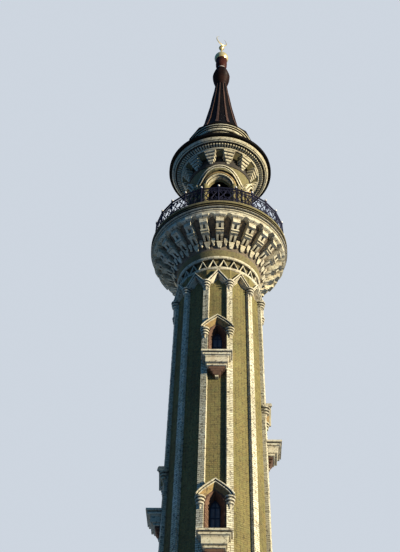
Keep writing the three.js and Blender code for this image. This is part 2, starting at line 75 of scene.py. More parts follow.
# Heights and radii that come from the solids
PLINTH_TOP = top("plinth")
SHAFT_TOP = top("shaft_wall_upper_front")
ARCADE_TOP = top("arcade_ring")
NECK_TOP = top("neck_drum")
BOWL_TOP = top("balcony_bowl")
SLAB_TOP = top("balcony_slab")
SLAB_EDGE = reach("balcony_slab")
LANTERN_SPRING = top("lantern_pier_front_right")
LANTERN_TOP = top("lantern_arches")
CORNICE_TOP = top("lantern_cornice")
EAVE_EDGE = reach("eave_roof")
ROOF_TOP = top("eave_roof")
DRUM_TOP = top("upper_drum")
SPIRE_TOP = top("spire")
KNOB_TOP = top("spire_knob")
BALL_TOP = top("gilded_ball")
TIP = top("crescent")

# Shaft, with the same taper as the solids
STRIP_FACE_AT_GROUND = 2.155
SHAFT_TAPER = 0.0104
STRIP_WIDTH = 0.265
STRIP_PROUD = 0.175
WELL_RADIUS = 1.2
COURSE = 0.08
STRETCHER = 0.27
JOINT = 0.011
BRICK_RELIEF = 0.007
BRICK_EDGE = 0.005
SHORTEST_BRICK = 0.05
SHORTEST_CUT_BRICK = 0.03

# Windows
SILL_LIFT = 0.041
HOOD_SPRING = 1.48
HOOD_RISE = 0.63
HOOD_PROUD = 0.19
HOOD_BAND = 0.30
JAMB_PROUD = 0.09
JAMB_INSET = 0.014
REVEAL_HALF_WIDTH = 0.34
WINDOW_SPRING = 1.30
GLASS_PEAK = 1.60
REVEAL_PEAK = 1.76
SHOULDER = 0.62
CAPITAL_HEIGHT = 0.48

# Stepped stones of a window, from the bottom: half width, distance out and height over the sill
SILL_SLAB = [(0.43, -0.16, -0.235), (0.46, -0.13, -0.20), (0.53, -0.06, -0.19), (0.54, -0.05, -0.12),
             (0.50, -0.09, -0.11), (0.50, -0.09, -0.085), (0.595, 0, -0.075), (0.595, 0, 0)]
CONSOLE_BODY = [(0.41, -0.02, -0.47), (0.43, 0, -0.46), (0.43, 0, -0.22)]
CONSOLE_FOOT = [(0.36, 0.22, -0.56), (0.38, 0.24, -0.55), (0.38, 0.24, -0.46)]
CONSOLE_DROP = [(0.06, 0.05, -0.89), (0.16, 0.09, -0.82), (0.16, 0.105, -0.75), (0.235, 0.13, -0.73),
                (0.235, 0.15, -0.66), (0.31, 0.17, -0.64), (0.31, 0.18, -0.555)]

# Doorway
DOOR_HALF_WIDTH = 0.40
DOOR_SPRING = 1.75
DOOR_PEAK = 2.35

# Neck and balcony
NECK_RADIUS = 1.70
RING_SIZE = 0.065
LOWER_RING = 30.47
UPPER_RING = 31.09
ZIGZAGS = 24
CORBELS = 24
CORBEL_TURN = 1.4
CORBEL_BACK = 1.75
RAILING_RADIUS = 2.90
RAILING_HEIGHT = 0.98
RAILING_BAYS = 24

# Lantern and cornice
LANTERN_OUTER = 1.48
LANTERN_INNER = 1.20
ARCH_HALF_WIDTH = 0.48
MOUTH_HALF_WIDTH = 0.64
COLONETTES = (26, 35.5, 45, 54.5, 64)
CORNICE_EDGE = 2.345
DENTILS = 96

# Roof, spire and finial
SEAMS = 24
DRUM_DENTILS = 48
SPIRE_TURN = 6
SPIRE_LINE = [(1.66, 40.76), (1.50, 40.90), (1.32, 41.14), (1.14, 41.5), (1.02, 41.82), (0.86, 42.4),
              (0.73, 43.15), (0.58, 44.0), (0.46, 44.9), (0.37, 45.5), (0.30, 46.1)]
RIBS_FROM = 41.3
KNOB_RINGS = [(0.33, 46.25), (0.375, 46.42), (0.415, 46.59), (0.445, 46.76), (0.46, 46.91), (0.465, 47.05),
              (0.44, 47.19), (0.405, 47.33), (0.37, 47.46), (0.33, 47.58), (0.29, 47.69)]
CRESCENT_RADIUS = 0.37
CRESCENT_TURN = 38

# View
CAMERA_DISTANCE = 30.6
EYE_HEIGHT = 1.6
FOCAL_PIXELS = 976.66
PHOTO_HEIGHT = 552
PITCH = 44.5165
ROLL = 1.7823
YAW = -1.54346
ORBIT = 0.98933

# Stage. A lamp has a name, azimuth, elevation, strength, colour, spread and whether shiny surfaces show it.
LAMPS = (
    ("key", 62.5, 3, 7.2, (1.0, 0.94, 0.79), 4, True),
    ("top", 0, 90, 1.6, (1.0, 0.96, 0.90), 20, False),
    ("back", 200, 10, 2.4, (1.0, 0.98, 0.94), 20, False),
    ("low", 60, -85, 0.3, (1.0, 0.88, 0.70), 40, False),
)
FILL_COLOR = (0.14, 0.41, 0.95, 1)
FILL_STRENGTH = 0.37
STUDIO_COLOR = (0.74, 0.80, 0.88, 1)
STUDIO_STRENGTH = 0.72
FLOOR_SIZE = 120


# Shells

def rotate(points, azimuth):
    """Turns points about the tower's axis."""
    angle = radians(azimuth)
    x, y, z = points.T
    across = cos(angle) * x - sin(angle) * y
    along = sin(angle) * x + cos(angle) * y
    return np.stack([across, along, z], axis=1)


def loft(rings, closed=False):
    """Joins rings of points into a shell, and caps its ends unless it closes on itself."""
    count = len(rings[0])
    points = np.array([point for ring in rings for point in ring], float)
    faces = []
    for i in range(len(rings) if closed else len(rings) - 1):
        a = i * count
        b = (i + 1) % len(rings) * count
        for j in range(count):
            k = (j + 1) % count
            faces.append((a + j, a + k, b + k, b + j))
    if not closed:
        faces.append(tuple(range(count)))
        faces.append(tuple(range(len(points) - count, len(points))))
    return points, faces


def circle(radius, height, segments, phase=0.0, distance=0.0):
    """A level ring of points about the axis, or about an upright line at a distance in front of it."""
    turns = [2 * pi * (i + phase) / segments for i in range(segments)]
    return [(radius * sin(a), -distance - radius * cos(a), height) for a in turns]


def lathe(profile, segments=96, phase=0.0, distance=0.0):
    """A turned shell of (radius, height) points: solid if they start on the axis, otherwise a ring."""
    solid = profile[0][0] == 0
    outline = profile[1:-1] if solid else profile
    return loft([circle(r, z, segments, phase, distance) for r, z in outline], closed=not solid)


def arc(radius, height, size, start, stop, steps=8):
    """Points of a round moulding in an upright section, between two angles above straight out."""
    angles = np.radians(np.linspace(start, stop, steps + 1))
    return [(radius + size * cos(a), height + size * sin(a)) for a in angles]


def torus(radius, height, size, segments=96):
    """A round ring about the axis."""
    return lathe(arc(radius, height, size, 0, 324, 9), segments)


def over(base, rows):
    """Pairs of values with the second ones counted from a base."""
    return [(first, base + second) for first, second in rows]


def moved(shell, x, y, z):
    points, faces = shell
    return points + np.array([x, y, z]), faces


def raised(plan, low, high):
    """A body with a level plan of (x, y) points."""
    return loft([[(x, y, z) for x, y in plan] for z in (low, high)])


def block(left, right, near, far, low, high):
    """A box between two distances from the axis."""
    return raised([(left, -near), (right, -near), (right, -far), (left, -far)], low, high)


def stack(levels):
    """A body of level rectangles, each (half width, near, far, height)."""
    rings = [[(-half, -near), (half, -near), (half, -far), (-half, -far)] for half, near, far, _ in levels]
    return loft([[(x, y, level[3]) for x, y in ring] for ring, level in zip(rings, levels)])


def upright(outline, distance):
    """An outline of (x, height) points, stood up at a distance from the axis."""
    return [(x, -distance, z) for x, z in outline]


def rib(outline, half):
    """A fin with an outline of (radius, height) points."""
    return loft([[(x, -radius, z) for radius, z in outline] for x in (-half, half)])


def strap(width, back, front):
    """The section of a flat moulding."""
    return [(0, back), (0, front), (width, front), (width, back)]


def sweep(section, path, wrapped=False):
    """Carries a section of (inward, out) points along a path of (x, height) points, mitred, with level ends.
    Where it is wrapped, out is a radius and the band bends round the axis."""
    path = np.array(path, float)
    steps = path[1:] - path[:-1]
    steps /= np.linalg.norm(steps, axis=1)[:, None]
    rings = []
    for i, (x, z) in enumerate(path):
        before = steps[max(i - 1, 0)]
        after = steps[min(i, len(steps) - 1)]
        normals = np.array([[before[1], -before[0]], [after[1], -after[0]]])
        mitre = normals.sum(0) / (1 + normals[0] @ normals[1])
        if i in (0, len(path) - 1) and abs(after[1]) > 0.5:
            mitre = np.array([1 / after[1], 0])
        ring = []
        for inward, out in section:
            across = x + mitre[0] * inward
            depth = sqrt(max(out * out - across * across, 0)) if wrapped else out
            ring.append((across, -depth, z + mitre[1] * inward))
        rings.append(ring)
    return loft(rings)


def bezier(a, b, c, d, steps):
    """Points along a cubic curve."""
    a, b, c, d = (np.array(point, float) for point in (a, b, c, d))
    shares = np.linspace(0, 1, steps + 1)[:, None]
    rest = 1 - shares
    curve = a * rest**3 + 3 * b * rest**2 * shares + 3 * c * rest * shares**2 + d * shares**3
    return [tuple(point) for point in curve]


def mirrored(half):
    """A path that ends in the middle, carried on as its own mirror image."""
    return list(half) + [(-x, z) for x, z in reversed(half[:-1])]


def place(name, data):
    """Adds an object to the scene."""
    thing = bpy.data.objects.new(name, data)
    SCENE.collection.objects.link(thing)
    return thing


class Shape:
    """Shells gathered into one piece, each with a tone that shifts its colour."""

    def __init__(self, facing=0.0):
        self.facing = facing
        self.points = []
        self.faces = []
        self.tones = []
        self.count = 0

    def add(self, shell, azimuth=0.0, tone=None):
        points, faces = shell
        value = wobble(0.5) if tone is None else tone
        self.points.append(rotate(points, self.facing + azimuth))
        self.faces.extend(tuple(index + self.count for index in face) for face in faces)
        self.tones.extend([value] * len(faces))
        self.count += len(points)

    def around(self, shell, count, tone, start=0.0):
        """Adds copies at even steps about the axis."""
        for i in range(count):
            self.add(shell, start + i * 360 / count, tone)

    def make(self, name, material, slot=None, node=None, bevel=0.0, sharp=35.0):
        """Makes the piece, in place of the solid in a node if one is named."""
        mesh = bpy.data.meshes.new(name)
        mesh.from_pydata((np.concatenate(self.points) * SCALE).tolist(), [], self.faces)
        mesh.attributes.new("tone", "FLOAT", "FACE").data.foreach_set("value", self.tones)
        work = bmesh.new()
        work.from_mesh(mesh)
        bmesh.ops.recalc_face_normals(work, faces=work.faces)
        work.to_mesh(mesh)
        work.free()
        mesh.polygons.foreach_set("use_smooth", [True] * len(mesh.polygons))
        mesh.set_sharp_from_angle(angle=radians(sharp))
        mesh.materials.append(material)
        piece = place(name, mesh)
        if bevel:
            soften = piece.modifiers.new("soften", "BEVEL")
            soften.width = bevel * SCALE
            soften.segments = 2
            soften.limit_method = "ANGLE"
            soften.angle_limit = radians(sharp)
            soften.harden_normals = True
        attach(piece, "root")
        if node:
            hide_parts(node)


def turned(name, profile, material, slot, node=None, tone=0.0, segments=96, **edges):
    """Makes a piece of one turned shell."""
    shape = Shape()
    shape.add(lathe(profile, segments), 0, tone)
    shape.make(name, material, slot, node, **edges)


def dress(node, material):
    """Gives a solid's node that stays in sight its material."""
    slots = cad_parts[node].data.materials
    slots.clear()
    slots.append(material)


# Materials

def linear(code):
    """A colour from its six hexadecimal digits, as light values."""
    parts = [int(code[i:i + 2], 16) / 255 for i in (0, 2, 4)]
    return tuple(c / 12.92 if c <= 0.04045 else ((c + 0.055) / 1.055) ** 2.4 for c in parts) + (1.0,)


class Finish:
    """One material, with short ways to make the nodes that the finishes share."""

    def __init__(self, name):
        self.material = bpy.data.materials.new(name)
        self.material.use_nodes = True
        self.tree = self.material.node_tree
        self.shader = self.tree.nodes["Principled BSDF"]
        self.place = self.node("TexCoord").outputs["Object"]

    def put(self, socket, value):
        """Joins an input to another node's output, or sets it to a value or a colour's code."""
        if isinstance(value, bpy.types.NodeSocket):
            self.tree.links.new(value, socket)
        else:
            socket.default_value = linear(value) if isinstance(value, str) else value

    def node(self, kind, **inputs):
        node = self.tree.nodes.new("ShaderNode" + kind)
        for name, value in inputs.items():
            self.put(node.inputs[name.replace("_", " ")], value)
        return node

    def noise(self, scale, detail=4.0, roughness=0.55, stretch=(1, 1, 1)):
        place = self.node("Mapping", Scale=stretch, Vector=self.place).outputs["Vector"]
        node = self.node("TexNoise", Vector=place, Scale=scale, Detail=detail, Roughness=roughness)
        return node.outputs["Fac"]

    def hollows(self, distance):
        """How far a place lies in a hollow, up to 1 in the deepest corners."""
        node = self.node("AmbientOcclusion", Distance=distance)
        node.samples = 6
        return self.spread(node.outputs["AO"], 0.78, 0.28)

    def tone(self):
        node = self.node("Attribute")
        node.attribute_name = "tone"
        return node.outputs["Fac"]

    def spread(self, value, low, high, new_low=0.0, new_high=1.0):
        """Carries a value from one range over to another."""
        new = {"To_Min": new_low, "To_Max": new_high}
        return self.node("MapRange", Value=value, From_Min=low, From_Max=high, **new).outputs["Result"]

    def mix(self, share, first, second, mode="MIX"):
        node = self.node("Mix")
        node.data_type = "RGBA"
        node.blend_type = mode
        self.put(node.inputs[0], share)
        self.put(node.inputs[6], first)
        self.put(node.inputs[7], second)
        return node.outputs[2]

    def scaled(self, value, factor):
        node = self.node("Math")
        node.operation = "MULTIPLY"
        self.put(node.inputs[0], value)
        self.put(node.inputs[1], factor)
        return node.outputs["Value"]

    def bump(self, heights):
        """Bumps from (height, depth in millimetres), one over another."""
        normal = None
        for height, depth in heights:
            node = self.node("Bump", Strength=1.0, Distance=depth / 1000, Height=height)
            if normal:
                self.put(node.inputs["Normal"], normal)
            normal = node.outputs["Normal"]
        self.put(self.shader.inputs["Normal"], normal)

    def done(self, color, roughness, metallic=0.0):
        self.put(self.shader.inputs["Base Color"], color)
        self.put(self.shader.inputs["Roughness"], roughness)
        self.put(self.shader.inputs["Metallic"], metallic)
        return self.material


def masonry(name, light, dark, patch, stain, brick_share, speckle=0.5, hollow_shade=0.75):
    """Brick or stone: two weathered shades, patches, streaks, specks, a shade for each brick, and painted
    shade in hollows.
    """
    f = Finish(name)
    clouds = f.spread(f.noise(0.9, 6, 0.6), 0.38, 0.62)
    mottle = f.spread(f.noise(7.0, 5, 0.65), 0.35, 0.68)
    streaks = f.spread(f.noise(5.0, 5, 0.6, (1, 1, 0.12)), 0.50, 0.74)
    specks = f.spread(f.noise(24.0, 3, 0.6), 0.54, 0.64)
    grain = f.noise(120.0, 3, 0.6)
    color = f.mix(clouds, light, dark)
    color = f.mix(f.scaled(mottle, 0.55), color, patch)
    color = f.mix(f.scaled(streaks, 0.45), color, stain)
    shade = f.mix(f.spread(f.tone(), -0.5, 0.5), "a08f7c", "ffffff")
    color = f.mix(brick_share, color, f.mix(1.0, color, shade, "MULTIPLY"))
    color = f.mix(f.scaled(specks, speckle), color, stain)
    shade = f.mix(f.spread(grain, 0.3, 0.7), "8c8c8c", "ffffff")
    color = f.mix(0.35, color, f.mix(1.0, color, shade, "MULTIPLY"))
    # Painted shade: hollows, creases and gaps between parts darken towards near-black brown, by ambient
    # occlusion
    color = f.mix(f.scaled(f.hollows(0.11), hollow_shade), color, "261f18")
    f.bump([(f.noise(16.0, 5, 0.6), 3.0), (grain, 2.0)])
    return f.done(color, f.spread(f.noise(25.0, 3), 0.3, 0.7, 0.82, 0.96))


def metal(name, light, dark, rust, roughness=(0.5, 0.7), metallic=0.0, depth=0.6):
    """Paint or bare metal with dull patches, a little rust and an uneven sheet. Paint hardly shines."""
    f = Finish(name)
    clouds = f.spread(f.noise(3.0, 5, 0.6), 0.35, 0.65)
    wear = f.spread(f.noise(11.0, 6, 0.7, (1, 1, 0.35)), 0.56, 0.72)
    color = f.mix(clouds, light, dark)
    color = f.mix(f.scaled(wear, 0.6), color, rust)
    f.bump([(f.noise(4.0, 2, 0.5), depth * 3), (f.noise(60.0, 3, 0.5), depth)])
    low, high = roughness
    if not metallic:
        f.shader.inputs["Specular IOR Level"].default_value = 0.08
    return f.done(color, f.spread(f.noise(14.0, 4), 0.3, 0.7, low, high), metallic)


def glazing():
    """Old window glass, dark from outside, with a slight ripple, and a pale grey mottle that is partly dust
    and partly painted reflection.
    """
    f = Finish("old_glass")
    pane_mottle = f.spread(f.noise(9.0, 5, 0.6, (1, 1, 0.5)), 0.45, 0.75)
    # The pale greys are partly dust and partly a painted reflection, lighter than clean glass would look
    color = f.mix(f.scaled(pane_mottle, 0.6), "67645e", "98948c")
    f.bump([(f.noise(5.0, 2, 0.4), 2.0)])
    f.shader.inputs["Specular IOR Level"].default_value = 0.25
    return f.done(color, f.spread(pane_mottle, 0, 1, 0.06, 0.3))


# Light and dark shade, patches and stains, then how far bricks differ, specks show and painted shade darkens
# hollows
PANEL = masonry("panel_brick", "897f4b", "787143", "826a3f", "3a3526", 0.22, 0.5, 0.35)
STRIP = masonry("strip_brick", "e8dfc2", "cfc4a2", "d2c294", "4a4034", 0.3, 0.75, 0.4)
STONE = masonry("carved_stone", "ddd4b6", "c8bd98", "c2ab86", "534536", 0.25, 0.65, 0.85)
SPANDREL = masonry("wall_stone", "8a8058", "767048", "7e6a44", "40372a", 0.25, 0.5, 0.85)
# A darker copy of the carved stone: painted shade on the bowl's floor between the corbels
SHADED = masonry("shaded_recess_stone", "8e806a", "7a6d58", "806c50", "40372d", 0.25, 0.7, 0.8)
# A near-black stone: painted shade for the cornice's deep holes and the drum's grooves
SHADOW_STONE = masonry("painted_shadow_stone", "4a443a", "3a352d", "453b2f", "1f1c18", 0.2, 0.5, 0.9)
SOFFIT = masonry("soffit_brick", "b59c66", "96804e", "a37a4c", "40342a", 0.3, 0.7, 0.8)
BARE = masonry("bare_brick", "7c5f49", "624a3a", "876a50", "3a2c24", 0.6, 0.5, 0.8)
MORTAR = masonry("mortar", "847a50", "736b48", "7c6848", "3a3526", 0.0, 0.5, 0.2)
PLINTH = masonry("plinth_stone", "857f70", "746e60", "7d7561", "504b40", 0.6)

# Light and dark shade and rust, then the range of roughness and how metallic it is
ROOF = metal("roof_paint", "1a1612", "120f0c", "2a1c15")
RIBS = metal("rib_paint", "5e483c", "4b3b32", "3a2a22")
KNOB = metal("knob_paint", "33211a", "1d1411", "4a2e22", (0.4, 0.6))
IRON = metal("railing_iron", "33323f", "201f2b", "3d2e2c", (0.4, 0.6))
FINIAL = metal("finial_paint", "d9d2c4", "bdb5a6", "8b7c68", (0.3, 0.5))
# Dark brown for the cup under the gilded ball: a painted dark reflection on the gilding
REFLECTION_BROWN = metal("brown_painted_reflection", "4a2a20", "331d18", "5c3a28", (0.4, 0.6))
GOLD = metal("gilding", "ead39a", "d6b36c", "9c7440", (0.2, 0.38), 0.6, 0.3)
GLASS = glazing()
FRAME = metal("window_frame", "4a5258", "363d43", "5c5348")


# Shaft

def taper(height):
    """How much the shaft has drawn in at a height."""
    return 1 - SHAFT_TAPER * height / STRIP_FACE_AT_GROUND


def strip_face(height):
    """Distance of the strips' faces from the axis."""
    return STRIP_FACE_AT_GROUND * taper(height)


def panel_face(height):
    """Distance of the panels' faces from the axis."""
    return (STRIP_FACE_AT_GROUND - STRIP_PROUD) * taper(height)


def panel_half_width(height):
    """Half the width of a panel between its strips."""
    half = STRIP_WIDTH / 2 * taper(height)
    return (panel_face(height) - half * sin(HALF_BAY)) * tan(HALF_BAY) - half * cos(HALF_BAY)


def read_windows():
    """Azimuth, sill height and half width of each window, from its glass."""
    windows = []
    for name in sorted(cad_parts):
        if not name.startswith("window_glass_"):
            continue
        low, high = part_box(name)
        middle = (low + high) / 2
        azimuth = round(degrees(atan2(middle.x, -middle.y)) / BAY) * BAY % 360
        wide = max(high.x - low.x, high.y - low.y) / 2 / SCALE
        windows.append((name.removeprefix("window_glass_"), azimuth, low.z / SCALE - SILL_LIFT, wide))
    return windows


WINDOWS = read_windows()


def hood_path(half, spring, rise, steps=7):
    """The outer line of a pointed hood, a little swollen."""
    left, knee, peak = np.array([(-half, spring), (-half * 0.88, spring + rise * 0.36), (0, spring + rise)])
    return mirrored(bezier(left, left + (knee - left) * 2 / 3, peak + (knee - peak) * 2 / 3, peak, steps))


def brick(left, right, low, high, wall, out):
    """The face and sides of one brick, without its hidden back."""
    points = []
    for surface, edge in ((wall, 0), (out, BRICK_EDGE)):
        for x, level, z in ((left + edge, low, low + edge), (right - edge, low, low + edge),
                            (right - edge, high, high - edge), (left + edge, high, high - edge)):
            points.append((x, -surface(level), z))
    sides = [(i, (i + 1) % 4, (i + 1) % 4 + 4, i + 4) for i in range(4)]
    return np.array(points), [*sides, (4, 5, 6, 7)]


def bond(half, course):
    """Where the bricks of a course start and end: stretchers, then headers."""
    length = STRETCHER if course % 2 else STRETCHER / 2
    start = -half - (course % 4 == 3) * length / 2
    pieces = []
    while start < half:
        left = max(start, -half)
        right = min(start + length, half)
        if right - left > SHORTEST_BRICK:
            pieces.append((left + JOINT / 2, right - JOINT / 2))
        start += length
    return pieces


def in_window(azimuth, height, across):
    """Whether a place on a panel lies within a window's jambs or its doorway."""
    for _, where, sill, _ in WINDOWS:
        if where == azimuth and sill - 0.15 < height < sill + HOOD_SPRING + HOOD_RISE * 0.55 - abs(across):
            return True
    return False


def clear_of_door(left, right, height):
    """Cuts a brick back to the doorway's edge, or drops it."""
    rise = (height - PLINTH_TOP - DOOR_SPRING) / (DOOR_PEAK - DOOR_SPRING)
    half = DOOR_HALF_WIDTH * (1 if rise < 0 else max(0, 1 - rise**1.4))
    if rise > 1 or right <= -half or left >= half:
        return left, right
    if left < -half:
        return left, -half
    if right > half:
        return half, right
    return 0, 0


def courses(start, low, high):
    """Azimuth, number, foot and head of each course of bricks on three bays, between two heights."""
    for step in (0, 1, 2):
        for course in range(int((high - low) / COURSE)):
            yield start + step * BAY, course, low + course * COURSE, low + (course + 1) * COURSE


def face_panels(shape, quarter, low, high):
    """Brick faces on the three panels of a quarter."""
    for turn, course, foot, head in courses(quarter, low, high):
        azimuth = turn % 360
        bottom = foot + JOINT
        height = (bottom + head) / 2
        for left, right in bond(panel_half_width(head) - 0.004, course):
            if azimuth == 0:
                left, right = clear_of_door(left, right, height)
            if right - left < SHORTEST_CUT_BRICK or in_window(azimuth, height, (left + right) / 2):
                continue
            proud = BRICK_RELIEF + wobble(0.002)
            shape.add(brick(left, right, bottom, head, panel_face, lambda z: panel_face(z) + proud), azimuth)


def face_strips(shape, quarter, low, high):
    """Brick faces round the three strips of a quarter."""
    for azimuth, course, foot, head in courses(quarter + BAY / 2, low, high):
        half = STRIP_WIDTH / 2 * taper(head) + BRICK_RELIEF
        edges = [-half, half] if course % 2 else [-half, 0, half]
        for left, right in zip(edges, edges[1:]):
            proud = BRICK_RELIEF + wobble(0.004)
            ends = (left + JOINT / 4 * (left == 0), right - JOINT / 4 * (right == 0))
            shell = brick(*ends, foot + JOINT / 2, head, panel_face, lambda z: strip_face(z) + proud)
            shape.add(shell, azimuth)


def shaft():
    """Brick faces over the shaft walls, a storey and a quarter at a time."""
    for storey in ("lower", "upper"):
        for name, start in (("front", 330), ("right", 60), ("back", 150), ("left", 240)):
            node = f"shaft_wall_{storey}_{name}"
            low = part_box(node)[0].z / SCALE
            panels = Shape()
            face_panels(panels, start, low, top(node))
            panels.make(f"panel_bricks_{storey}_{name}", PANEL, "brickwork")
            strips = Shape()
            face_strips(strips, start, low, top(node))
            strips.make(f"strip_bricks_{storey}_{name}", STRIP, "brickwork")
            dress(node, MORTAR)


def capital(head, distance, size=1.0):
    """A capital of three round plates over a drop with a small ball."""
    z = head
    outline = [(0, z)]
    for radius, low in ((0.190, 0.0), (0.170, 0.125), (0.145, 0.245)):
        outline.append((radius * 0.97 * size, z - low * size))
        outline.extend(arc((radius - 0.03) * size, z - (low + 0.032) * size, 0.032 * size, 60, -60, 4))
        outline.append(((radius - 0.085) * size, z - (low + 0.070) * size))
        outline.append(((radius - 0.085) * size, z - (low + 0.115) * size))
    outline.append((0.075 * size, z - 0.37 * size))
    outline.append((0.04 * size, z - 0.40 * size))
    outline.extend(arc(0.0, z - 0.43 * size, 0.05 * size, 50, -60, 5))
    outline.append((0, z - CAPITAL_HEIGHT * size))
    return lathe(outline, 20, distance=distance)


def hood_section(back, face, proud, band):
    """Sections of a hood: a crown of two fillets with a groove between them, and a splayed soffit."""
    front = face + proud
    crown = over(front, [(0, -0.01), (0.01, 0), (0.045, 0), (0.05, -0.008), (0.05, -0.09), (0.082, -0.09),
                         (0.082, -0.04), (0.117, -0.04), (0.12, -0.05)])
    soffit = over(front, [(0.12, -0.08), (band - 0.03, -0.26), (band, -0.27)])
    return [(0, back), *crown, (0.12, back)], [(0.12, back), *soffit, (band, back)]


def pointed(half, foot, spring, peak):
    """The line of a pointed opening."""
    shoulder = spring + (peak - spring) * SHOULDER
    return mirrored([(-half, foot), (-half, spring), (-half * SHOULDER, shoulder), (0, peak)])


def window(name, azimuth, sill, half):
    """Hood on two capitals, splayed brick jambs, sill on a stepped console, and bars."""
    spring = sill + HOOD_SPRING
    face = strip_face(spring)
    panel = panel_face(sill)
    back = panel - 0.02

    def steps(rows, near, far):
        return stack([(width, near, far + out, sill + height) for width, out, height in rows])

    path = hood_path(face * sin(HALF_BAY) + 0.17, spring, HOOD_RISE)
    crown, soffit = hood_section(back, face, HOOD_PROUD, HOOD_BAND)
    soffits = Shape(azimuth)
    soffits.add(sweep(soffit, path), 0, 0.1)
    soffits.make(f"window_soffit_{name}", SOFFIT, "brickwork")
    stone = Shape(azimuth)
    stone.add(sweep(crown, path), 0, 0.5)
    for side in (-BAY / 2, BAY / 2):
        stone.add(capital(spring + 0.02, face), side, 0.3)
    stone.add(steps(SILL_SLAB, face * 0.97, panel + STRIP_PROUD + 0.48), 0, 0.3)
    stone.add(block(-0.33, 0.33, back, face * 0.98, sill - 0.1, sill - 0.002), 0, 0.1)
    stone.add(steps(CONSOLE_BODY, back, face + 0.345), 0, 0.1)
    stone.add(steps(CONSOLE_FOOT, back, face), 0, 0.4)
    stone.add(block(-0.065, 0.065, back, face + 0.06, sill - 0.96, sill - 0.89), 0, 0.4)
    stone.make(f"window_stone_{name}", STONE, "limestone", f"window_surround_{name}", bevel=0.006)
    bricks = Shape(azimuth)
    bricks.add(steps(CONSOLE_DROP, back, face), 0, -0.2)
    jambs(bricks, sill, half, panel)
    bricks.make(f"window_bricks_{name}", BARE, "brickwork", bevel=0.004)
    window_bars(name, azimuth, sill, half)


def jambs(shape, sill, half, panel):
    """Splayed brick jambs in courses, with the arched head over them."""
    near = panel - 0.33
    far = panel + JAMB_PROUD
    edge = panel_half_width(sill + 1) + 0.01
    for side in (-1, 1):
        for course in range(int(WINDOW_SPRING / COURSE)):
            low = sill + 0.03 + course * COURSE
            proud = wobble(0.003)
            inset = JAMB_INSET + proud
            plan = [(side * edge, -near), (side * (half - inset), -near),
                    (side * (REVEAL_HALF_WIDTH - inset), -far - proud), (side * edge, -far - proud)]
            shape.add(raised(plan, low, low + COURSE - JOINT))
    spring = sill + WINDOW_SPRING
    outside = mirrored([(edge, spring), (edge, spring + 0.3), (edge * 0.55, sill + REVEAL_PEAK + 0.08),
                        (0, sill + REVEAL_PEAK + 0.25)])
    rings = []
    for distance, width, peak in ((near, half, GLASS_PEAK), (far, REVEAL_HALF_WIDTH, REVEAL_PEAK)):
        inner = width - JAMB_INSET
        crown = sill + (peak - 0.02)
        shoulder = spring + (crown - spring) * SHOULDER
        under = mirrored([(-inner, spring), (-inner * SHOULDER, shoulder), (0, crown)])
        rings.append(upright(under + outside, distance))
    shape.add(loft(rings), 0, 0.2)


def window_bars(name, azimuth, sill, half):
    """A wooden frame with one mullion and three crossbars, just in front of the glass."""
    low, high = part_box(f"window_glass_{name}")
    near = max(abs(c) for c in (low.x, low.y, high.x, high.y)) / SCALE - 0.005
    far = near + 0.04
    foot = sill + 0.045
    rail = 0.028
    outline = pointed(half - 0.003, foot, sill + WINDOW_SPRING, sill + GLASS_PEAK - 0.005)
    bars = Shape(azimuth)
    bars.add(sweep(strap(0.035, near, far), outline))
    bars.add(block(-rail / 2, rail / 2, near, far - 0.008, foot, sill + GLASS_PEAK - 0.05))
    for height in (0.5, 0.9, WINDOW_SPRING):
        shelf = sill + height
        bars.add(block(-half + 0.01, half - 0.01, near, far - 0.012, shelf, shelf + rail))
    bars.add(block(-half + 0.005, half - 0.005, near, far, foot, foot + 0.04))
    bars.make(f"window_frame_{name}", FRAME, bevel=0.003)
    dress(f"window_glass_{name}", GLASS)


def plinth():
    """A plinth of dressed blocks with a sloped top course."""
    shape = Shape()
    inner = 2.3
    gap = 0.004
    for low, high, corner in ((0.0, 0.18, 2.62), (0.18, 0.33, 2.48)):
        face = corner * cos(HALF_BAY)
        side = corner * sin(HALF_BAY)
        for bay in range(BAYS):
            for i in range(3):
                left = -side + i * 2 * side / 3 + gap
                right = left + 2 * side / 3 - 2 * gap
                shape.add(block(left, right, inner, face, low + gap, high - gap), bay * BAY)
    head = PLINTH_TOP
    crown = [(0, 0.1), (2.46, 0.1), (2.46, 0.33), (2.38, head - 0.02), (2.37, head), (0, head)]
    shape.add(lathe(crown, BAYS, 0.5), 0, 0.2)
    shape.make("plinth_blocks", PLINTH, "granite", "plinth", bevel=0.01)


# Arcade and neck

def arcade():
    """A gable on two capitals over every bay, and the wall that they stand against."""
    outer = 1.79
    wall = outer * cos(HALF_BAY)
    half = outer * sin(HALF_BAY)
    inside = LANTERN_INNER - 0.05
    outside = panel_face(SHAFT_TOP) + 0.02
    low = SHAFT_TOP
    high = ARCADE_TOP
    peak = low + 0.68
    path = [(-half - 0.02, low - 0.02), (0, peak), (half + 0.02, low - 0.02)]
    crown, soffit = hood_section(wall - 0.15, wall, 0.2, 0.21)
    spandrel = [(-half, low), (0, peak - 0.06), (half, low), (half, high), (-half, high)]
    base = Shape()
    base.add(lathe([(inside, low), (outside, low), (outside, high), (inside, high)], BAYS, 0.5), 0, 0.1)
    stone = Shape()
    for bay in range(BAYS):
        azimuth = bay * BAY
        stone.add(sweep(crown, path), azimuth, 0.5)
        stone.add(sweep(soffit, path), azimuth, -0.1)
        base.add(loft([upright(spandrel, wall - 0.2), upright(spandrel, wall + 0.03)]), azimuth, -0.2)
        stone.add(capital(low + 0.02, strip_face(low), 1.02), azimuth + BAY / 2, 0.2)
    base.make("arcade_wall", PANEL, "brickwork", "arcade_ring", bevel=0.005)
    stone.make("arcade_gables", STONE, "limestone", bevel=0.006)


